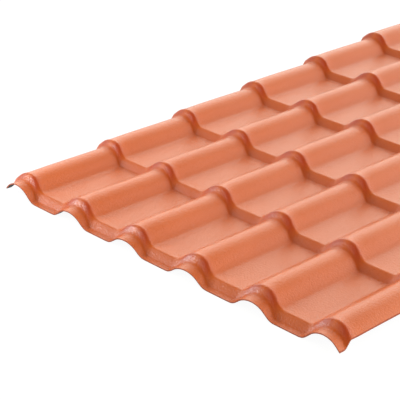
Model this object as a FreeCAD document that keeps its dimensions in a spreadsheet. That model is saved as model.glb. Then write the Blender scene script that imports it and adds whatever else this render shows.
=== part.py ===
import FreeCAD, Part
import math
import os

import Sketcher

# Roofing sheet pressed from one PVC sheet to look like courses of clay tiles.
# The section of one wave, a rounded hump between two half valleys, is drawn at the
# corners of one tile course and padded from corner to corner: up the riser, over the
# nose and down the run. Pockets along the same course, one sheet thickness further in,
# leave the bent sheet. That tile is repeated over the roof and trimmed to stock size.
# X runs across the waves, +Y up the roof and +Z up.

os.makedirs("parts", exist_ok=True)
doc = FreeCAD.newDocument("roofing_sheet")

# Driving dimensions, millimetres
driving = (
    ("wave_pitch", 160),
    ("wave_count", 6),
    ("hump_width", 88),
    ("hump_height", 25),
    ("foot_flare", 2),
    ("sheet_thickness", 2.5),
    ("course_length", 220),
    ("course_count", 10),
    ("step_height", 13.5),
    ("riser_run", 12),
    ("nose_run", 5),
    ("nose_rise", 2.5),
    ("crest_setback", 8),
    ("eaves_strip", 11),
    ("left_lap", 36),
    ("right_lap", 36),
)
# What follows from them
derived = (
    ("first_foot", "=eaves_strip - course_length"),
    ("riser_rise", "=step_height - nose_rise"),
    ("head_run", "=riser_run + nose_run"),
    ("riser_slope", "=atan(riser_rise / riser_run)"),
    ("nose_slope", "=atan(nose_rise / nose_run)"),
    ("run_slope", "=-atan(step_height / (course_length - head_run))"),
    ("section_lean", "=atan(crest_setback / hump_height)"),
    ("crest_radius", "=hump_width / 2 - foot_flare"),
    ("crest_centre", "=hump_height / cos(section_lean) - crest_radius"),
    ("flank_turn", "=acos(crest_radius / sqrt(crest_centre ^ 2 + (hump_width / 2) ^ 2))"),
    ("flank_slope", "=90 deg - flank_turn + atan(crest_centre / (hump_width / 2))"),
    ("inner_foot", "=hump_width / 2 - sheet_thickness * tan(flank_slope / 2)"),
    ("blank_depth", "=sheet_thickness + step_height"),
    ("sheet_length", "=course_length * course_count"),
    ("right_edge", "=wave_pitch * (wave_count - 1) + right_lap"),
    ("trim_margin", "=course_length + wave_pitch"),
)
sizes = doc.addObject("Spreadsheet::Sheet", "Sizes")
for row, (alias, value) in enumerate(driving + derived, start=1):
    sizes.set(f"A{row}", alias)
    sizes.set(f"B{row}", str(value))
    sizes.setAlias(f"B{row}", alias)
doc.recompute()

body = doc.addObject("PartDesign::Body", "RoofingSheet")
body.Label = "roofing_sheet"

rule = Sketcher.Constraint
# Sketcher numbers the points of a line or arc from 1, and a sketch's own axes down from -1
start, end, centre = range(1, 4)
level_axis, upright_axis = range(-1, -3, -1)
origin = level_axis


def origin_feature(role):
    return next(item for item in body.Origin.OriginFeatures if item.Role == role)


def worked_out(expression):
    """Present value of an expression in the driving dimensions."""
    return float(body.evalExpression(expression))


def bind(sketch, kind, *terms, expression):
    """Add a dimension to a sketch and tie its value to the driving dimensions."""
    index = sketch.addConstraint(rule(kind, *terms, worked_out(expression)))
    sketch.setExpression(f"Constraints[{index}]", expression)


def wave_section(name, corner, radius, crest_centre, foot, reach):
    """Closed section of one wave at a corner of the course, leaning up the roof.

    Its skin is level from reach to foot, climbs the flank and goes round the crest.
    """
    sketch = body.newObject("Sketcher::SketchObject", name)
    sketch.AttachmentSupport = [(origin_feature("XZ_Plane"), "")]
    sketch.MapMode = "FlatFace"
    sketch.setExpression("AttachmentOffset.Base.z", f"-(Sizes.first_foot + {corner[0]})")
    sketch.setExpression("AttachmentOffset.Base.y", corner[1])
    sketch.setExpression("AttachmentOffset.Rotation.Axis.x", "1")
    sketch.setExpression("AttachmentOffset.Rotation.Axis.y", "0")
    sketch.setExpression("AttachmentOffset.Rotation.Axis.z", "0")
    sketch.setExpression("AttachmentOffset.Rotation.Angle", "-Sizes.section_lean")

    # The flank runs from the foot of the hump to where it touches the crest arc
    middle = FreeCAD.Vector(0, worked_out(crest_centre))
    right_foot = FreeCAD.Vector(worked_out(foot), 0)
    span = right_foot - middle
    turn = math.atan2(span.y, span.x) + math.acos(worked_out(radius) / span.Length)
    touch = middle + FreeCAD.Vector(math.cos(turn), math.sin(turn)) * worked_out(radius)
    edge = FreeCAD.Vector(worked_out(reach), 0)
    down = FreeCAD.Vector(0, -worked_out("Sizes.blank_depth"))
    circle = Part.Circle(middle, FreeCAD.Vector(0, 0, 1), worked_out(radius))

    def mirrored(point):
        return FreeCAD.Vector(-point.x, point.y)

    def line(first, last):
        return sketch.addGeometry(Part.LineSegment(first, last))

    left_valley = line(mirrored(edge), mirrored(right_foot))
    left_flank = line(mirrored(right_foot), mirrored(touch))
    crest = sketch.addGeometry(Part.ArcOfCircle(circle, turn, math.pi - turn))
    right_flank = line(touch, right_foot)
    right_valley = line(right_foot, edge)
    right_end = line(edge, edge + down)
    base = line(edge + down, mirrored(edge) + down)
    left_end = line(mirrored(edge) + down, mirrored(edge))

    sketch.addConstraint(rule("Coincident", left_valley, end, left_flank, start))
    sketch.addConstraint(rule("Tangent", left_flank, end, crest, end))
    sketch.addConstraint(rule("Tangent", crest, start, right_flank, start))
    sketch.addConstraint(rule("Coincident", right_flank, end, right_valley, start))
    sketch.addConstraint(rule("Coincident", right_valley, end, right_end, start))
    sketch.addConstraint(rule("Coincident", right_end, end, base, start))
    sketch.addConstraint(rule("Coincident", base, end, left_end, start))
    sketch.addConstraint(rule("Coincident", left_end, end, left_valley, start))
    sketch.addConstraint(rule("Horizontal", left_valley))
    sketch.addConstraint(rule("Horizontal", right_valley))
    sketch.addConstraint(rule("Vertical", right_end))
    sketch.addConstraint(rule("Vertical", left_end))
    sketch.addConstraint(rule("Symmetric", left_flank, start, right_flank, end, upright_axis))
    sketch.addConstraint(rule("Symmetric", base, start, base, end, upright_axis))
    sketch.addConstraint(rule("PointOnObject", crest, centre, upright_axis))
    sketch.addConstraint(rule("PointOnObject", right_valley, end, level_axis))
    bind(sketch, "DistanceX", origin, start, right_valley, end, expression=reach)
    bind(sketch, "DistanceX", origin, start, right_flank, end, expression=foot)
    bind(sketch, "DistanceY", crest, centre, origin, start, expression=f"-({crest_centre})")
    bind(sketch, "Radius", crest, expression=radius)
    bind(sketch, "DistanceY", right_end, end, right_end, start, expression="Sizes.blank_depth")
    return sketch


def extrude_to(kind, name, section, corner, target):
    """Pad or pocket a section from its corner of the course to the next one."""
    run, rise = (f"({there}) - ({here})" for here, there in zip(corner, target))
    feature = body.newObject(kind, name)
    feature.Profile = section
    feature.UseCustomVector = True
    feature.AlongSketchNormal = False
    feature.setExpression("Direction.x", "0")
    feature.setExpression("Direction.y", run)
    feature.setExpression("Direction.z", rise)
    feature.setExpression("Length", f"sqrt(({run}) ^ 2 + ({rise}) ^ 2)")


# The weathered face of one course: foot, nose and head, then the foot of the next course
foot = ("0", "0")
nose = ("Sizes.riser_run", "Sizes.riser_rise")
head = ("Sizes.head_run", "Sizes.step_height")
next_foot = ("Sizes.course_length", "0")
for name, corner, target in (("Riser", foot, nose), ("Nose", nose, head), ("Run", head, next_foot)):
    section = wave_section(f"{name}Section", corner, "Sizes.crest_radius", "Sizes.crest_centre",
                           "Sizes.hump_width / 2", "Sizes.wave_pitch / 2")
    extrude_to("PartDesign::Pad", name, section, corner, target)


def inner_corner(corner, slope_before, slope_after):
    """Where a corner of the course comes on the underside, square to both runs there."""
    run, rise = corner
    across = f"Sizes.sheet_thickness / cos(({slope_after} - {slope_before}) / 2)"
    slope = f"({slope_before} + {slope_after}) / 2"
    return f"{run} + {across} * sin({slope})", f"{rise} - {across} * cos({slope})"


def courses_on(corner, step):
    return f"{corner[0]} + {step} * Sizes.course_length", corner[1]


# The underside, from the head of the course before to the foot of the course after.
# It passes under the nose in one slope, so the sheet is a little thicker there.
inner_foot = inner_corner(foot, "Sizes.run_slope", "Sizes.riser_slope")
inner_head = inner_corner(head, "Sizes.nose_slope", "Sizes.run_slope")
hollows = (
    ("LastRunUnder", courses_on(inner_head, -1), inner_foot),
    ("RiserUnder", inner_foot, inner_head),
    ("RunUnder", inner_head, courses_on(inner_foot, 1)),
)
for name, corner, target in hollows:
    section = wave_section(f"{name}Section", corner, "Sizes.crest_radius - Sizes.sheet_thickness",
                           "Sizes.crest_centre + Sizes.sheet_thickness", "Sizes.inner_foot",
                           "Sizes.wave_pitch / 2 + Sizes.sheet_thickness")
    extrude_to("PartDesign::Pocket", name, section, corner, target)
doc.recompute()


def repeat_body(name, direction, length, count):
    """Repeat all that the body holds so far along one axis."""
    pattern = body.newObject("PartDesign::LinearPattern", name)
    pattern.TransformMode = "Whole shape"
    pattern.Direction = (origin_feature(direction), [""])
    pattern.setExpression("Length", length)
    pattern.setExpression("Occurrences", count)
    body.Tip = pattern
    doc.recompute()


# One course more than the stock length needs, because the eaves strip belongs to it
repeat_body("Course", "X_Axis", "Sizes.wave_pitch * (Sizes.wave_count - 1)", "Sizes.wave_count")
repeat_body("Courses", "Y_Axis", "Sizes.sheet_length", "Sizes.course_count + 1")

# The saw cut around the stock size, as the frame between two rectangles
trim = body.newObject("Sketcher::SketchObject", "TrimFrame")
trim.AttachmentSupport = [(origin_feature("XY_Plane"), "")]
trim.MapMode = "FlatFace"


def rectangle(left, right, eaves, ridge):
    """Rectangle in the trim sketch, each side given as an expression."""
    low = FreeCAD.Vector(worked_out(left), worked_out(eaves))
    high = FreeCAD.Vector(worked_out(right), worked_out(ridge))
    corners = (low, FreeCAD.Vector(high.x, low.y), high, FreeCAD.Vector(low.x, high.y))
    sides = [trim.addGeometry(Part.LineSegment(*ends)) for ends in zip(corners, corners[1:] + corners[:1])]
    for side, following, lie in zip(sides, sides[1:] + sides[:1], ("Horizontal", "Vertical") * 2):
        trim.addConstraint(rule("Coincident", side, end, following, start))
        trim.addConstraint(rule(lie, side))
    bind(trim, "DistanceX", origin, start, sides[0], start, expression=left)
    bind(trim, "DistanceX", origin, start, sides[0], end, expression=right)
    bind(trim, "DistanceY", origin, start, sides[0], start, expression=eaves)
    bind(trim, "DistanceY", origin, start, sides[2], start, expression=ridge)


rectangle("-Sizes.left_lap", "Sizes.right_edge", "0", "Sizes.sheet_length")
rectangle("-Sizes.left_lap - Sizes.trim_margin", "Sizes.right_edge + Sizes.trim_margin",
          "-Sizes.trim_margin", "Sizes.sheet_length + Sizes.trim_margin")
stock = body.newObject("PartDesign::Pocket", "StockSize")
stock.Profile = trim
stock.SideType = "Symmetric"
stock.Type = "ThroughAll"
body.Tip = stock

# The middle of the sheet's outline stands over the origin, with the valleys on z = 0
body.setExpression("Placement.Base.x", "(Sizes.left_lap - Sizes.right_edge) / 2")
body.setExpression("Placement.Base.y", "-Sizes.sheet_length / 2")
body.setExpression("Placement.Base.z", f"-({inner_foot[1]})")
doc.recompute()

for item in doc.Objects:
    if "Invalid" in item.State or "Error" in item.State:
        raise RuntimeError(f"{item.Label} failed: {item.getStatusString()}")
if body.Shape.isNull() or not body.Shape.isValid() or len(body.Shape.Solids) != 1:
    raise RuntimeError(f"{body.Label} is not one valid solid")
body.Shape.exportStep(os.path.join("parts", body.Label + ".step"))
print(body.Label, "volume", round(body.Shape.Volume), "mm3")
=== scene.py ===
import math

import bpy
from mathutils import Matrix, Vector


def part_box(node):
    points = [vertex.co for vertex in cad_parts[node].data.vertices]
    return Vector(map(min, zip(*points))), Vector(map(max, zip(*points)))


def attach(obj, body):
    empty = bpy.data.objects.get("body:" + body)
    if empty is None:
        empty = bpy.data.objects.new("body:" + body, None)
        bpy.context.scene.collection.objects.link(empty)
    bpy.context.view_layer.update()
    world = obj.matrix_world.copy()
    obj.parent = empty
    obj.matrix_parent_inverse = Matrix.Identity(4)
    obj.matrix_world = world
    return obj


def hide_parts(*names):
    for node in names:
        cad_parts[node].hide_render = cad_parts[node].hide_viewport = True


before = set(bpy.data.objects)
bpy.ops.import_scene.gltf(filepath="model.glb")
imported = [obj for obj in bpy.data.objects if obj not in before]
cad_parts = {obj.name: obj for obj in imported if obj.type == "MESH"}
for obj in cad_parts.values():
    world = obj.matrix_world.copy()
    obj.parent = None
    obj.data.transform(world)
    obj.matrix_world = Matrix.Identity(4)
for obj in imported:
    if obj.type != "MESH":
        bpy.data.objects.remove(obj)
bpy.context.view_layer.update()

mm = 0.001  # the scene is in metres, the sizes below in millimetres


def addNode(tree, kind, settings=None, sockets=None):
    node = tree.nodes.new(kind)
    for name, value in (settings or {}).items():
        setattr(node, name, value)
    for name, value in (sockets or {}).items():
        if isinstance(value, bpy.types.NodeSocket):
            tree.links.new(value, node.inputs[name])
        else:
            node.inputs[name].default_value = value
    return node


def linearColor(hexCode, alpha=1.0):
    channels = [int(hexCode[i:i + 2], 16) / 255 for i in (1, 3, 5)]
    return [c / 12.92 if c <= 0.04045 else ((c + 0.055) / 1.055) ** 2.4 for c in channels] + [alpha]


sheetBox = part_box("roofing_sheet")
leftEdge, eavesCut = [edge / mm for edge in sheetBox[0]][:2]
rightEdge, ridgeCut = [edge / mm for edge in sheetBox[1]][:2]

# The stock size in waves, and how it is cut, in millimetres
waveCount = 6
outerLap = 36.0      # from each side edge to the crest beside it
eavesStrip = 11.0    # from the eaves cut to the foot of the first riser

# The sheet in millimetres: the CAD source's waves, courses and steps, with the roundings that
# forming leaves, and a little thinner than there so that it stays inside the same box
sheetSizes = {
    "Wave Pitch": 160.0,
    "Hump Width": 88.0,
    "Hump Height": 25.0,
    "Crest Radius": 42.0,
    "Sheet Thickness": 2.4,
    "Course Length": 220.0,
    "Step Height": 13.5,
    "Riser Run": 12.0,
    "Riser Rise": 11.0,
    "Head Run": 17.0,
    "Crest Setback": 8.0,
    "Left Edge": leftEdge,
    "Right Edge": rightEdge,
    "First Crest": leftEdge + outerLap,
    "Eaves Cut": eavesCut,
    "Ridge Cut": ridgeCut,
    "First Foot": eavesCut + eavesStrip,
    "Valley Level": 2.42,        # of the weathered face at the foot of a riser
    "Valley Fillet": 12.0,       # how softly a flank runs out into the flat
    "Crest Foot Delay": 4.5,     # the riser starts later on a hump, so it is steeper there
    "Flank Foot Delay": 0.8,     # and this much is added on the flanks
    "Shade Reach": 9.0,          # how far on each side of a riser the painted shade on the flanks reaches
    "Flat Foot Round": 3.0,      # the crease under each riser on the flats
    "Crest Foot Round": 13.0,    # and on top of the humps, where it is drawn softer
    "Flat Nose Round": 4.0,      # the edge over each riser on the flats
    "Crest Nose Round": 10.0,
    "Flat Neck": 0.4,            # the press leaves each run a little hollow behind its head
    "Crest Neck": 1.3,
    "Neck Length": 15.0,         # from the head to the lowest of that hollow
    "Flat Foot Back": 4.0,       # how far the close rows reach before and past a foot and a head
    "Crest Foot Back": 9.0,
    "Flat Foot Ahead": 3.0,
    "Crest Foot Ahead": 2.0,
    "Flat Nose Back": 4.0,
    "Crest Nose Back": 5.5,
    "Flat Nose Ahead": 7.0,
    "Crest Nose Ahead": 12.0,
    "Cut Sag": 6.0,              # the middle humps lie this much lower at the eaves cut
    "Cut Lift": 8.0,             # less this much towards both side edges
    "Cut Relief": 70.0,          # and the sag is gone this far up the sheet
    "Waviness": 0.12,            # height of the slow unevenness of a warm formed sheet
    "Waviness Length": 170.0,
}
# How many faces lie across a hump and a flat, and along each part of a course
sheetCounts = {
    "Hump Columns": 22,
    "Flat Columns": 12,
    "Cut Columns": 2,            # of each outer hump, past the side edge
    "Foot Rows": 6,
    "Riser Rows": 2,
    "Nose Rows": 6,
    "Run Rows": 10,
    "Eaves Rows": 3,             # on the strip before the first riser
    "Courses": 10,
}
waveColumns = sheetCounts["Hump Columns"] + sheetCounts["Flat Columns"]
columnsTrimmed = sheetCounts["Flat Columns"] + 2 * sheetCounts["Cut Columns"]
sheetCounts["Columns"] = waveCount * waveColumns - columnsTrimmed
courseRows = sum(sheetCounts[part + " Rows"] for part in ("Foot", "Riser", "Nose", "Run"))
sheetCounts["Rows"] = sheetCounts["Eaves Rows"] + sheetCounts["Courses"] * courseRows

sheetShares = {
    "Flat Crowding": 0.75,       # how far columns crowd to both sides of a flat, 0 where they are even
    "Run Crowding": 0.7,         # and rows to both ends of a run
    "Sawn Facing": 0.5,          # cosine of a slope steeper than any formed face, so that it is sawn
}


def stampedTileSheet():
    tree = bpy.data.node_groups.new("stampedTileSheet", "GeometryNodeTree")
    for name in sheetSizes:
        socket = tree.interface.new_socket(name, in_out="INPUT", socket_type="NodeSocketFloat")
        socket.subtype = "DISTANCE"
    for name in sheetCounts:
        tree.interface.new_socket(name, in_out="INPUT", socket_type="NodeSocketInt")
    for name in sheetShares:
        tree.interface.new_socket(name, in_out="INPUT", socket_type="NodeSocketFloat")
    tree.interface.new_socket("Finish", in_out="INPUT", socket_type="NodeSocketMaterial")
    tree.interface.new_socket("Geometry", in_out="OUTPUT", socket_type="NodeSocketGeometry")
    size = addNode(tree, "NodeGroupInput").outputs

    # A closed box of vertices, one unit each way: its top becomes the weathered face of the sheet
    # and its bottom the underside. A grid of the same columns and rows gives the slope at each.
    pointsAcross = addNode(tree, "ShaderNodeMath", {"operation": "ADD"}, {0: size["Columns"], 1: 1.0})
    pointsAlong = addNode(tree, "ShaderNodeMath", {"operation": "ADD"}, {0: size["Rows"], 1: 1.0})
    block = addNode(tree, "GeometryNodeMeshCube", sockets={
        "Size": (1, 1, 1), "Vertices X": pointsAcross.outputs[0],
        "Vertices Y": pointsAlong.outputs[0], "Vertices Z": 2})
    grid = addNode(tree, "GeometryNodeMeshGrid", sockets={
        "Size X": 1.0, "Size Y": 1.0,
        "Vertices X": pointsAcross.outputs[0], "Vertices Y": pointsAlong.outputs[0]})
    split = addNode(tree, "ShaderNodeSeparateXYZ", sockets={
        "Vector": addNode(tree, "GeometryNodeInputPosition").outputs[0]})

    known = {socket.name: socket for socket in size}
    known.update({"u": split.outputs["X"], "v": split.outputs["Y"], "w": split.outputs["Z"]})

    def work(steps):
        for result, operation, *terms in steps:
            sockets = {i: known.get(term, term) for i, term in enumerate(terms)}
            node = addNode(tree, "ShaderNodeMath", {"operation": operation, "label": result}, sockets)
            known[result] = node.outputs[0]

    # Across the sheet: column to X, then how high the hump stands there
    work((
        ("across", "ADD", "u", 0.5),
        ("columnRaw", "MULTIPLY", "across", "Columns"),
        ("column", "ROUND", "columnRaw"),
        ("wholeColumn", "ADD", "column", "Cut Columns"),
        ("waveColumns", "ADD", "Hump Columns", "Flat Columns"),
        ("waveShare", "DIVIDE", "wholeColumn", "waveColumns"),
        ("wave", "FLOOR", "waveShare"),
        ("waveStart", "MULTIPLY", "wave", "waveColumns"),
        ("inWave", "SUBTRACT", "wholeColumn", "waveStart"),
        ("humpStep", "DIVIDE", "inWave", "Hump Columns"),
        ("humpShare", "MINIMUM", "humpStep", 1.0),
        ("humpPart", "MULTIPLY", "humpShare", "Hump Width"),
        ("pastHump", "SUBTRACT", "inWave", "Hump Columns"),
        ("flatColumn", "MAXIMUM", "pastHump", 0.0),
        ("flatShare", "DIVIDE", "flatColumn", "Flat Columns"),
        ("flatTurn", "MULTIPLY", "flatShare", math.tau),
        ("flatSine", "SINE", "flatTurn"),
        ("flatSwing", "DIVIDE", "flatSine", math.tau),
        ("flatPull", "MULTIPLY", "flatSwing", "Flat Crowding"),
        ("flatEven", "SUBTRACT", "flatShare", "flatPull"),
        ("flatWidth", "SUBTRACT", "Wave Pitch", "Hump Width"),
        ("flatPart", "MULTIPLY", "flatEven", "flatWidth"),
        ("waveCrest", "MULTIPLY_ADD", "wave", "Wave Pitch", "First Crest"),
        ("halfHump", "MULTIPLY", "Hump Width", 0.5),
        ("humpLeft", "SUBTRACT", "waveCrest", "halfHump"),
        ("alongHump", "ADD", "humpLeft", "humpPart"),
        ("xFree", "ADD", "alongHump", "flatPart"),
        ("xLeft", "MAXIMUM", "xFree", "Left Edge"),
        ("x", "MINIMUM", "xLeft", "Right Edge"),
        ("fromFirst", "SUBTRACT", "x", "First Crest"),
        ("pitches", "DIVIDE", "fromFirst", "Wave Pitch"),
        ("nearest", "ROUND", "pitches"),
        ("nearestCrest", "MULTIPLY", "nearest", "Wave Pitch"),
        ("offCrest", "SUBTRACT", "fromFirst", "nearestCrest"),
        ("aside", "ABSOLUTE", "offCrest"),
        ("asideShare", "DIVIDE", "aside", "halfHump"),
        ("asideTurn", "MULTIPLY", "asideShare", math.pi),
        ("asideSine", "SINE", "asideTurn"),
        ("onFlank", "MAXIMUM", "asideSine", 0.0),
    ))
    # The section leans up the roof, so that the crest of each riser stands back
    work((
        ("leanSlope", "DIVIDE", "Crest Setback", "Hump Height"),
        ("lean", "ARCTANGENT", "leanSlope"),
        ("leanSine", "SINE", "lean"),
        ("leanCosine", "COSINE", "lean"),
        ("leanHeight", "DIVIDE", "Hump Height", "leanCosine"),
        ("centreLevel", "SUBTRACT", "leanHeight", "Crest Radius"),
        ("centreDrop", "MULTIPLY", "centreLevel", -1.0),
        ("footSquare", "MULTIPLY", "halfHump", "halfHump"),
        ("reachSquare", "MULTIPLY_ADD", "centreDrop", "centreDrop", "footSquare"),
        ("reach", "SQRT", "reachSquare"),
        ("reachCosine", "DIVIDE", "Crest Radius", "reach"),
        ("touchTurn", "ARCCOSINE", "reachCosine"),
        ("footTurn", "ARCTAN2", "centreDrop", "halfHump"),
        ("normalTurn", "ADD", "footTurn", "touchTurn"),
        ("touchCosine", "COSINE", "normalTurn"),
        ("touchTangent", "TANGENT", "normalTurn"),
        ("touchAside", "MULTIPLY", "Crest Radius", "touchCosine"),
        ("asideSquare", "MULTIPLY", "aside", "aside"),
        ("radiusSquare", "MULTIPLY", "Crest Radius", "Crest Radius"),
        ("underRoot", "SUBTRACT", "radiusSquare", "asideSquare"),
        ("safeRoot", "MAXIMUM", "underRoot", 0.0),
        ("arcRise", "SQRT", "safeRoot"),
        ("arcHeight", "ADD", "centreLevel", "arcRise"),
        ("toFoot", "SUBTRACT", "halfHump", "aside"),
        ("flankHeight", "DIVIDE", "toFoot", "touchTangent"),
        ("onArc", "LESS_THAN", "aside", "touchAside"),
        ("arcOverFlank", "SUBTRACT", "arcHeight", "flankHeight"),
        ("sharpHeight", "MULTIPLY_ADD", "onArc", "arcOverFlank", "flankHeight"),
        ("hump", "SMOOTH_MAX", "sharpHeight", 0.0, "Valley Fillet"),
        ("humpFraction", "DIVIDE", "hump", "leanHeight"),
        ("setback", "MULTIPLY", "hump", "leanSine"),
    ))
    # What differs between the flats and the crests changes with the height of the hump
    for part in ("Foot Back", "Foot Ahead", "Nose Back", "Nose Ahead", "Foot Round", "Nose Round", "Neck"):
        between = addNode(tree, "ShaderNodeMix", {"data_type": "FLOAT"}, {
            "Factor": known["humpFraction"], "A": size["Flat " + part], "B": size["Crest " + part]})
        known[part] = between.outputs[0]
    # Along the sheet: row to a place in the course. Close rows follow the foot and the nose.
    work((
        ("crestDelay", "MULTIPLY", "humpFraction", "Crest Foot Delay"),
        ("footDelay", "MULTIPLY_ADD", "onFlank", "Flank Foot Delay", "crestDelay"),
        ("along", "ADD", "v", 0.5),
        ("rowRaw", "MULTIPLY", "along", "Rows"),
        ("row", "ROUND", "rowRaw"),
        ("afterEaves", "SUBTRACT", "row", "Eaves Rows"),
        ("toRiser", "ADD", "Foot Rows", "Riser Rows"),
        ("toRun", "ADD", "toRiser", "Nose Rows"),
        ("courseRows", "ADD", "toRun", "Run Rows"),
        ("courseShare", "DIVIDE", "afterEaves", "courseRows"),
        ("courseAny", "FLOOR", "courseShare"),
        ("courseUp", "MAXIMUM", "courseAny", 0.0),
        ("lastCourse", "SUBTRACT", "Courses", 1.0),
        ("course", "MINIMUM", "courseUp", "lastCourse"),
        ("courseStart", "MULTIPLY", "course", "courseRows"),
        ("inCourse", "SUBTRACT", "afterEaves", "courseStart"),
        ("footStep", "DIVIDE", "inCourse", "Foot Rows"),
        ("riserRow", "SUBTRACT", "inCourse", "Foot Rows"),
        ("riserStep", "DIVIDE", "riserRow", "Riser Rows"),
        ("noseRow", "SUBTRACT", "inCourse", "toRiser"),
        ("noseStep", "DIVIDE", "noseRow", "Nose Rows"),
        ("runRow", "SUBTRACT", "inCourse", "toRun"),
        ("runStep", "DIVIDE", "runRow", "Run Rows"),
        ("eavesStep", "DIVIDE", "row", "Eaves Rows"),
    ))
    for part in ("foot", "riser", "nose", "run", "eaves"):
        share = addNode(tree, "ShaderNodeClamp", sockets={"Value": known[part + "Step"]})
        known[part + "Share"] = share.outputs[0]
    work((
        ("runTurn", "MULTIPLY", "runShare", math.tau),
        ("runSine", "SINE", "runTurn"),
        ("runSwing", "DIVIDE", "runSine", math.tau),
        ("runPull", "MULTIPLY", "runSwing", "Run Crowding"),
        ("runEven", "SUBTRACT", "runShare", "runPull"),
        ("courseFoot", "MULTIPLY_ADD", "course", "Course Length", "First Foot"),
        ("footPlace", "ADD", "courseFoot", "footDelay"),
        ("bandStart", "SUBTRACT", "footPlace", "Foot Back"),
        ("eavesHere", "SUBTRACT", "Eaves Cut", "setback"),
        ("ridgeHere", "SUBTRACT", "Ridge Cut", "setback"),
        ("fromFirstFoot", "SUBTRACT", "footDelay", "Foot Back"),
        ("firstBand", "ADD", "First Foot", "fromFirstFoot"),
        ("eavesLength", "SUBTRACT", "firstBand", "eavesHere"),
        ("eavesLeft", "SUBTRACT", 1.0, "eavesShare"),
        ("eavesBack", "MULTIPLY", "eavesLeft", "eavesLength"),
        ("nextBand", "ADD", "bandStart", "Course Length"),
        ("runEnd", "MINIMUM", "nextBand", "ridgeHere"),
        ("headPlace", "ADD", "courseFoot", "Head Run"),
        ("footLength", "ADD", "Foot Back", "Foot Ahead"),
        ("noseLength", "ADD", "Nose Back", "Nose Ahead"),
        ("riserBegin", "ADD", "footPlace", "Foot Ahead"),
        ("riserEnd", "SUBTRACT", "headPlace", "Nose Back"),
        ("riserLength", "SUBTRACT", "riserEnd", "riserBegin"),
        ("runBegin", "ADD", "headPlace", "Nose Ahead"),
        ("runLength", "SUBTRACT", "runEnd", "runBegin"),
        ("afterFoot", "MULTIPLY_ADD", "footShare", "footLength", "bandStart"),
        ("afterRiser", "MULTIPLY_ADD", "riserShare", "riserLength", "afterFoot"),
        ("afterNose", "MULTIPLY_ADD", "noseShare", "noseLength", "afterRiser"),
        ("afterRun", "MULTIPLY_ADD", "runEven", "runLength", "afterNose"),
        ("place", "SUBTRACT", "afterRun", "eavesBack"),
        ("y", "ADD", "place", "setback"),
    ))
    # The step profile at that place, and the humps that lie lower at the eaves cut
    work((
        ("local", "SUBTRACT", "place", "courseFoot"),
        ("riserRunHere", "SUBTRACT", "Riser Run", "footDelay"),
        ("riserSlope", "DIVIDE", "Riser Rise", "riserRunHere"),
        ("upRiser", "SUBTRACT", "local", "footDelay"),
        ("riserLine", "MULTIPLY", "upRiser", "riserSlope"),
        ("runFull", "SUBTRACT", "Course Length", "Head Run"),
        ("fall", "DIVIDE", "Step Height", "runFull"),
        ("pastHead", "SUBTRACT", "local", "Head Run"),
        ("runFall", "MULTIPLY", "pastHead", "fall"),
        ("runLine", "SUBTRACT", "Step Height", "runFall"),
        ("onRun", "MAXIMUM", "pastHead", 0.0),
        ("neckReach", "DIVIDE", "onRun", "Neck Length"),
        ("neckLeft", "SUBTRACT", 1.0, "neckReach"),
        ("neckFade", "EXPONENT", "neckLeft"),
        ("neckShape", "MULTIPLY", "neckReach", "neckFade"),
        ("neckDrop", "MULTIPLY", "Neck", "neckShape"),
        ("neckedRun", "SUBTRACT", "runLine", "neckDrop"),
        ("overRiser", "SMOOTH_MIN", "riserLine", "neckedRun", "Nose Round"),
        ("belowFall", "MULTIPLY", "local", "fall"),
        ("belowLine", "MULTIPLY", "belowFall", -1.0),
        ("thisCourse", "SMOOTH_MAX", "overRiser", "belowLine", "Foot Round"),
        # the next riser's soft foot already lifts the end of this run
        ("toNext", "SUBTRACT", "upRiser", "Course Length"),
        ("nextRiser", "MULTIPLY", "toNext", "riserSlope"),
        ("path", "SMOOTH_MAX", "thisCourse", "nextRiser", "Foot Round"),
        # painted shade: a mask on the flanks beside each riser, where the steep side of the head turns
        # from the light
        ("besideRiser", "SUBTRACT", "local", "Riser Run"),
        ("besideShare", "DIVIDE", "besideRiser", "Shade Reach"),
        ("besideSquare", "MULTIPLY", "besideShare", "besideShare"),
        ("besideBack", "MULTIPLY", "besideSquare", -1.0),
        ("nearRiser", "EXPONENT", "besideBack"),
        ("drawn", "MULTIPLY", "nearRiser", "onFlank"),
        ("fromEaves", "SUBTRACT", "y", "Eaves Cut"),
        ("reliefShare", "DIVIDE", "fromEaves", "Cut Relief"),
        ("reliefLeft", "SUBTRACT", 1.0, "reliefShare"),
        ("reliefOnly", "MAXIMUM", "reliefLeft", 0.0),
        ("relief", "MULTIPLY", "reliefOnly", "reliefOnly"),
        ("sideShare", "DIVIDE", "x", "Right Edge"),
        ("sideSquare", "MULTIPLY", "sideShare", "sideShare"),
        ("sideLift", "MULTIPLY", "sideSquare", "Cut Lift"),
        ("sag", "SUBTRACT", "sideLift", "Cut Sag"),
        ("sagHere", "MULTIPLY", "sag", "relief"),
        ("sagRise", "MULTIPLY", "sagHere", "humpFraction"),
        ("humpRise", "MULTIPLY", "hump", "leanCosine"),
        ("humpHere", "ADD", "humpRise", "sagRise"),
        ("stepped", "ADD", "path", "humpHere"),
    ))
    spot = addNode(tree, "ShaderNodeCombineXYZ", sockets={"X": known["x"], "Y": known["place"], "Z": 0.0})
    work((("wavinessScale", "DIVIDE", 1.0, "Waviness Length"),))
    slow = addNode(tree, "ShaderNodeTexNoise", {"noise_dimensions": "3D"}, {
        "Vector": spot.outputs[0], "Scale": known["wavinessScale"], "Detail": 1.0, "Roughness": 0.4})
    known["slow"] = slow.outputs[0]
    work((
        ("slowBoth", "MULTIPLY_ADD", "slow", 2.0, -1.0),
        ("uneven", "MULTIPLY", "slowBoth", "Waviness"),
        ("level", "ADD", "stepped", "uneven"),
        ("z", "ADD", "level", "Valley Level"),
    ))
    face = addNode(tree, "ShaderNodeCombineXYZ", sockets={
        "X": known["x"], "Y": known["y"], "Z": known["z"]})
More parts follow.
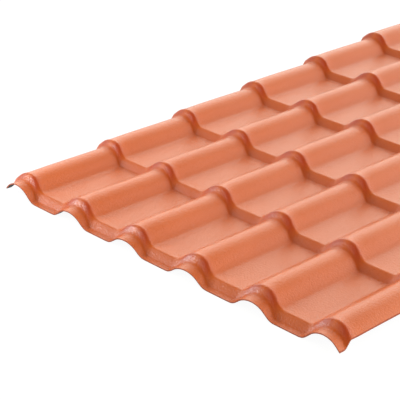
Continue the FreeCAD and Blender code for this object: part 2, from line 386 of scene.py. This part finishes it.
    # The underside leaves the weathered face square to it by the thickness, and plumb at the saw cuts
    formedGrid = addNode(tree, "GeometryNodeSetPosition", sockets={
        "Geometry": grid.outputs["Mesh"], "Position": face.outputs[0]})
    work((
        ("columnStart", "MULTIPLY_ADD", "column", "Rows", "column"),
        ("gridIndex", "ADD", "columnStart", "row"),
    ))
    normal = addNode(tree, "GeometryNodeInputNormal")
    slope = addNode(tree, "GeometryNodeSampleIndex", {"data_type": "FLOAT_VECTOR", "domain": "POINT"}, {
        "Geometry": formedGrid.outputs[0], "Value": normal.outputs[0], "Index": known["gridIndex"]})
    slopeParts = addNode(tree, "ShaderNodeSeparateXYZ", sockets={"Vector": slope.outputs[0]})
    known["upright"] = slopeParts.outputs["Z"]
    work((
        ("isUnder", "LESS_THAN", "w", 0.0),
        ("columnsLeft", "SUBTRACT", "Columns", "column"),
        ("nearSide", "MINIMUM", "column", "columnsLeft"),
        ("rowsLeft", "SUBTRACT", "Rows", "row"),
        ("nearEnd", "MINIMUM", "row", "rowsLeft"),
        ("nearCut", "MINIMUM", "nearSide", "nearEnd"),
        ("atCut", "LESS_THAN", "nearCut", 0.5),
        ("plumb", "DIVIDE", "Sheet Thickness", "upright"),
        ("plumbDown", "MULTIPLY", "plumb", -1.0),
        ("squareDown", "MULTIPLY", "Sheet Thickness", -1.0),
    ))
    square = addNode(tree, "ShaderNodeVectorMath", {"operation": "SCALE"}, {
        0: slope.outputs[0], "Scale": known["squareDown"]})
    straight = addNode(tree, "ShaderNodeCombineXYZ", sockets={"X": 0.0, "Y": 0.0, "Z": known["plumbDown"]})
    depth = addNode(tree, "ShaderNodeMix", {"data_type": "VECTOR"}, {
        "Factor": known["atCut"], "A": square.outputs[0], "B": straight.outputs[0]})
    drop = addNode(tree, "ShaderNodeVectorMath", {"operation": "SCALE"}, {
        0: depth.outputs[1], "Scale": known["isUnder"]})
    final = addNode(tree, "ShaderNodeVectorMath", {"operation": "ADD"}, {
        0: face.outputs[0], 1: drop.outputs[0]})

    # Faces of the box that look down are the underside, those that look sideways are sawn
    facing = addNode(tree, "ShaderNodeSeparateXYZ", sockets={"Vector": normal.outputs[0]})
    known["facing"] = facing.outputs["Z"]
    work((
        ("facingDown", "MULTIPLY", "facing", -1.0),
        ("underside", "GREATER_THAN", "facingDown", "Sawn Facing"),
        ("levelness", "ABSOLUTE", "facing"),
        ("sawn", "LESS_THAN", "levelness", "Sawn Facing"),
    ))
    shape = block.outputs["Mesh"]
    for name, domain in (("underside", "FACE"), ("sawn", "FACE"), ("drawn", "POINT")):
        storing = {"data_type": "FLOAT", "domain": domain}
        marked = addNode(tree, "GeometryNodeStoreNamedAttribute", storing, {
            "Geometry": shape, "Name": name, "Value": known[name]})
        shape = marked.outputs[0]
    thick = addNode(tree, "GeometryNodeSetPosition", sockets={
        "Geometry": shape, "Position": final.outputs[0]})
    smooth = addNode(tree, "GeometryNodeSetShadeSmooth", sockets={"Geometry": thick.outputs[0]})
    whole = addNode(tree, "GeometryNodeRealizeInstances", sockets={"Geometry": smooth.outputs[0]})
    finished = addNode(tree, "GeometryNodeSetMaterial", sockets={
        "Geometry": whole.outputs[0], "Material": size["Finish"]})
    addNode(tree, "NodeGroupOutput", sockets={"Geometry": finished.outputs[0]})
    return tree


# Rigid PVC with a co-extruded ASA cap, pressed warm between textured rolls: a satin face with
# a fine orange peel in one terracotta, deepened by painted shade in the creases and on the steep
# sides of each head, a dark back painted near black for the shade under it, and a brown edge where it is
# sawn
terracotta = {
    "capPale": "#DB6822",
    "capDeep": "#D05F1C",
    "drawn": "#BE4418",      # painted shade: darker on the steep sides of each head, which turn from the light, and in the creases
    "creaseReach": 24.0,     # mm, how far from a crease the painted shade reaches
    "creaseOpen": 0.94,      # share of open sky where that begins
    "creaseShut": 0.55,      # and where it is complete
    "creaseSamples": 8,
    # painted shade: a dark back, made near black so that it also stands for the shade under the sheet
    "under": "#0E0A08",
    "sawn": "#A84E2E",
    "roughness": 0.3,
    "roughnessSpread": 0.05,
    "underRoughness": 0.7,
    "ior": 1.55,
    "peelSize": 3.6,         # mm between dimples; the real ones are near 1 mm, too fine for the picture
    "peelDepth": 0.8,        # mm
    "grainSize": 0.9,        # mm
    "grainLow": 0.3,         # grain at the smoothest and at the roughest
    "grainHigh": 0.7,
    "cloudSize": 140.0,      # mm, slow change of tone
}


def asaCappedPvc():
    material = bpy.data.materials.new("asaCappedPvc")
    material.use_nodes = True
    tree = material.node_tree
    tree.nodes.clear()
    coordinate = addNode(tree, "ShaderNodeTexCoord")
    inMm = addNode(tree, "ShaderNodeMapping", sockets={
        "Vector": coordinate.outputs["Object"], "Scale": (1 / mm,) * 3})
    cloud = addNode(tree, "ShaderNodeTexNoise", sockets={
        "Vector": inMm.outputs[0], "Scale": 1 / terracotta["cloudSize"], "Detail": 3.0, "Roughness": 0.55})
    tone = addNode(tree, "ShaderNodeMix", {"data_type": "RGBA"}, {
        "Factor": cloud.outputs[0],
        "A": linearColor(terracotta["capDeep"]), "B": linearColor(terracotta["capPale"])})
    grain = addNode(tree, "ShaderNodeTexNoise", sockets={
        "Vector": inMm.outputs[0], "Scale": 1 / terracotta["grainSize"], "Detail": 2.0})
    peel = addNode(tree, "ShaderNodeTexNoise", sockets={
        "Vector": inMm.outputs[0], "Scale": 1 / terracotta["peelSize"], "Detail": 2.0, "Roughness": 0.6})
    # painted shade on the steep sides of each head, read from the mask stored with the sheet
    drawn = addNode(tree, "ShaderNodeAttribute", {"attribute_name": "drawn"})
    # painted shade in the creases: the tone deepens where the ambient occlusion finds little open sky
    sky = addNode(tree, "ShaderNodeAmbientOcclusion", {"samples": terracotta["creaseSamples"]}, {
        "Distance": terracotta["creaseReach"] * mm})
    creaseShade = addNode(tree, "ShaderNodeMapRange", sockets={
        "Value": sky.outputs["AO"],
        "From Min": terracotta["creaseOpen"], "From Max": terracotta["creaseShut"]})
    # the stronger of the two painted shades sets how far the tone deepens
    depth = addNode(tree, "ShaderNodeMath", {"operation": "MAXIMUM"}, {
        0: drawn.outputs["Fac"], 1: creaseShade.outputs[0]})
    shadedTone = addNode(tree, "ShaderNodeMix", {"data_type": "RGBA"}, {
        "Factor": depth.outputs[0], "A": tone.outputs[2], "B": linearColor(terracotta["drawn"])})
    below = addNode(tree, "ShaderNodeAttribute", {"attribute_name": "underside"})
    sawn = addNode(tree, "ShaderNodeAttribute", {"attribute_name": "sawn"})
    turned = addNode(tree, "ShaderNodeMix", {"data_type": "RGBA"}, {
        "Factor": below.outputs["Fac"], "A": shadedTone.outputs[2], "B": linearColor(terracotta["under"])})
    cut = addNode(tree, "ShaderNodeMix", {"data_type": "RGBA"}, {
        "Factor": sawn.outputs["Fac"], "A": turned.outputs[2], "B": linearColor(terracotta["sawn"])})
    satin = addNode(tree, "ShaderNodeMapRange", sockets={
        "Value": grain.outputs[0],
        "From Min": terracotta["grainLow"], "From Max": terracotta["grainHigh"],
        "To Min": terracotta["roughness"] - terracotta["roughnessSpread"],
        "To Max": terracotta["roughness"] + terracotta["roughnessSpread"]})
    uncapped = addNode(tree, "ShaderNodeMath", {"operation": "MAXIMUM"}, {
        0: below.outputs["Fac"], 1: sawn.outputs["Fac"]})
    rough = addNode(tree, "ShaderNodeMix", {"data_type": "FLOAT"}, {
        "Factor": uncapped.outputs[0], "A": satin.outputs[0], "B": terracotta["underRoughness"]})
    bump = addNode(tree, "ShaderNodeBump", sockets={
        "Height": peel.outputs[0], "Strength": 1.0, "Distance": terracotta["peelDepth"] * mm})
    shader = addNode(tree, "ShaderNodeBsdfPrincipled", sockets={
        "Base Color": cut.outputs[2], "Roughness": rough.outputs[0],
        "IOR": terracotta["ior"], "Normal": bump.outputs[0]})
    addNode(tree, "ShaderNodeOutputMaterial", sockets={"Surface": shader.outputs[0]})
    return material


sharpAngle = 45.0  # degrees, so that only the sawn edges stay sharp


def makeSheet():
    finish = asaCappedPvc()
    holder = bpy.data.objects.new("formingHolder", bpy.data.meshes.new("formingHolder"))
    bpy.context.scene.collection.objects.link(holder)
    tree = stampedTileSheet()
    forming = holder.modifiers.new("forming", "NODES")
    forming.node_group = tree
    inputs = [item for item in tree.interface.items_tree if item.in_out == "INPUT"]
    identifiers = {item.name: item.identifier for item in inputs}
    for name, value in sheetSizes.items():
        forming[identifiers[name]] = value * mm
    for name, value in (sheetCounts | sheetShares).items():
        forming[identifiers[name]] = value
    forming[identifiers["Finish"]] = finish
    evaluated = holder.evaluated_get(bpy.context.evaluated_depsgraph_get())
    mesh = bpy.data.meshes.new_from_object(evaluated)
    mesh.name = "roofingSheet"
    bpy.data.objects.remove(holder)
    mesh.set_sharp_from_angle(angle=math.radians(sharpAngle))
    piece = bpy.data.objects.new("roofingSheet", mesh)
    bpy.context.scene.collection.objects.link(piece)
    print("sheet formed:", len(mesh.vertices), "vertices,", len(mesh.polygons), "faces")
    return piece


roofingSheet = makeSheet()
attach(roofingSheet, "root")
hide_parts("roofing_sheet")

# The pale floor and the lit room around the sheet; each side is a direction from the sheet
studio = {
    "floorHalf": 30.0,                    # metres
    "floorGlow": 0.95,                    # white that the camera sees even in shadow
    "floorPaint": 0.12,                   # and what the light adds to it
    "floorBounce": 0.75,                  # how much light the floor gives back to the sheet
    "backWallSide": (0.5, 0.866, 0.0),
    "backWallGlow": 2.6,
    "frontWallGlow": 1.0,
    "wallTop": 0.4,                       # sine of the elevation up to which the walls glow evenly
    "ceilingShare": 0.1,                  # how much of that is left straight overhead
    "light": "#FFFAED",
    "windowSide": (-0.64, 0.597, 0.485),  # the bright spot that all the flats mirror
    "windowStart": 0.85,                  # cosine of the angle from its middle where it begins
    "windowFull": 0.97,
    "windowGlow": 0.55,
    "darkSide": (0.41, -0.709, 0.574),    # the unlit end of the room over the camera
    "darkStart": 0.76,                    # cosine of the angle from its middle where it begins
    "darkFull": 0.95,
    "darkShare": 0.08,                    # how much of the light is left in its middle
}


# Seamless white paper: even white to the eye, with only the sheet's soft shadow, and plain matt
# paper to the light, so that the sheet gets a real bounce from below
def makeFloor():
    half = studio["floorHalf"]
    mesh = bpy.data.meshes.new("paleFloor")
    corners = [(-half, -half, 0), (half, -half, 0), (half, half, 0), (-half, half, 0)]
    mesh.from_pydata(corners, [], [(0, 1, 2, 3)])
    material = bpy.data.materials.new("paperBackdrop")
    material.use_nodes = True
    tree = material.node_tree
    tree.nodes.clear()
    light = addNode(tree, "ShaderNodeLightPath")
    seen = addNode(tree, "ShaderNodeMath", {"operation": "MAXIMUM"}, {
        0: light.outputs["Is Camera Ray"], 1: light.outputs["Is Glossy Ray"]})
    shown = addNode(tree, "ShaderNodeMath", {"operation": "MAXIMUM"}, {
        0: seen.outputs[0], 1: light.outputs["Is Transmission Ray"]})
    paint = addNode(tree, "ShaderNodeBsdfDiffuse", sockets={"Color": [studio["floorPaint"]] * 3 + [1]})
    glow = addNode(tree, "ShaderNodeEmission", sockets={
        "Color": (1, 1, 1, 1), "Strength": studio["floorGlow"]})
    both = addNode(tree, "ShaderNodeAddShader", sockets={0: paint.outputs[0], 1: glow.outputs[0]})
    bounce = addNode(tree, "ShaderNodeBsdfDiffuse", sockets={"Color": [studio["floorBounce"]] * 3 + [1]})
    mixed = addNode(tree, "ShaderNodeMixShader", sockets={
        0: shown.outputs[0], 1: bounce.outputs[0], 2: both.outputs[0]})
    addNode(tree, "ShaderNodeOutputMaterial", sockets={"Surface": mixed.outputs[0]})
    mesh.materials.append(material)
    floor = bpy.data.objects.new("paleFloor", mesh)
    bpy.context.scene.collection.objects.link(floor)


# A white room with a dim ceiling, lit along its walls and brightest behind the sheet
def makeRoom():
    world = bpy.data.worlds.new("studioRoom")
    world.use_nodes = True
    bpy.context.scene.world = world
    tree = world.node_tree
    tree.nodes.clear()
    direction = addNode(tree, "ShaderNodeTexCoord").outputs["Generated"]
    towardBack = addNode(tree, "ShaderNodeVectorMath", {"operation": "DOT_PRODUCT"}, {
        0: direction, 1: studio["backWallSide"]})
    walls = addNode(tree, "ShaderNodeMapRange", sockets={
        "Value": towardBack.outputs["Value"], "From Min": -1.0, "From Max": 1.0,
        "To Min": studio["frontWallGlow"], "To Max": studio["backWallGlow"]})
    height = addNode(tree, "ShaderNodeSeparateXYZ", sockets={"Vector": direction})
    fade = addNode(tree, "ShaderNodeMapRange", {"interpolation_type": "SMOOTHSTEP"}, {
        "Value": height.outputs["Z"], "From Min": studio["wallTop"], "From Max": 1.0,
        "To Min": 1.0, "To Max": studio["ceilingShare"]})
    glow = addNode(tree, "ShaderNodeMath", {"operation": "MULTIPLY"}, {
        0: walls.outputs[0], 1: fade.outputs[0]})
    towardWindow = addNode(tree, "ShaderNodeVectorMath", {"operation": "DOT_PRODUCT"}, {
        0: direction, 1: studio["windowSide"]})
    window = addNode(tree, "ShaderNodeMapRange", {"interpolation_type": "SMOOTHSTEP"}, {
        "Value": towardWindow.outputs["Value"],
        "From Min": studio["windowStart"], "From Max": studio["windowFull"],
        "To Min": 0.0, "To Max": studio["windowGlow"]})
    lit = addNode(tree, "ShaderNodeMath", {"operation": "ADD"}, {
        0: glow.outputs[0], 1: window.outputs[0]})
    towardDark = addNode(tree, "ShaderNodeVectorMath", {"operation": "DOT_PRODUCT"}, {
        0: direction, 1: studio["darkSide"]})
    dark = addNode(tree, "ShaderNodeMapRange", {"interpolation_type": "SMOOTHSTEP"}, {
        "Value": towardDark.outputs["Value"],
        "From Min": studio["darkStart"], "From Max": studio["darkFull"],
        "To Min": 1.0, "To Max": studio["darkShare"]})
    left = addNode(tree, "ShaderNodeMath", {"operation": "MULTIPLY"}, {
        0: lit.outputs[0], 1: dark.outputs[0]})
    background = addNode(tree, "ShaderNodeBackground", sockets={
        "Color": linearColor(studio["light"]), "Strength": left.outputs[0]})
    addNode(tree, "ShaderNodeOutputWorld", sockets={"Surface": background.outputs[0]})


# Softboxes: where each stands and where it points, in metres, its two sides and how bright its face is
softboxes = {
    "leftSoftbox": {"at": (-1.2, -1.55, 0.75), "to": (-0.3, -1.08, 0.0), "sides": (0.5, 0.5), "glow": 2.5},
    "leftLamp": {"at": (-1.12, -1.78, 0.4), "to": (-0.1, -1.08, 0.03), "sides": (0.3, 0.3), "glow": 24.0},
}


def makeSoftboxes():
    for name, box in softboxes.items():
        lamp = bpy.data.lights.new(name, "AREA")
        lamp.shape = "RECTANGLE"
        lamp.size, lamp.size_y = box["sides"]
        lamp.energy = box["glow"] * math.pi * box["sides"][0] * box["sides"][1]
        holder = bpy.data.objects.new(name, lamp)
        holder.location = box["at"]
        away = Vector(box["at"]) - Vector(box["to"])
        holder.rotation_euler = away.to_track_quat("Z", "Y").to_euler()
        holder.visible_camera = False
        bpy.context.scene.collection.objects.link(holder)


# The camera, fitted to the photo: its place and far limit in metres, its turn in degrees and its
# lens and sensor in millimetres
camera = {
    "at": (1.59866, -2.52867, 1.22094),
    "turn": (63.0315, 1.2518, 45.2861),
    "lens": 122.361,
    "sensor": 36.0,
    "farLimit": 100.0,
}


def makeCamera():
    lens = bpy.data.cameras.new("camera")
    lens.sensor_width = camera["sensor"]
    lens.lens = camera["lens"]
    lens.clip_end = camera["farLimit"]
    viewer = bpy.data.objects.new("camera", lens)
    viewer.location = camera["at"]
    viewer.rotation_euler = [math.radians(angle) for angle in camera["turn"]]
    bpy.context.scene.collection.objects.link(viewer)
    bpy.context.scene.camera = viewer


makeFloor()
makeRoom()
makeSoftboxes()
makeCamera()
bpy.context.scene.view_settings.view_transform = "Standard"
print("studio set")
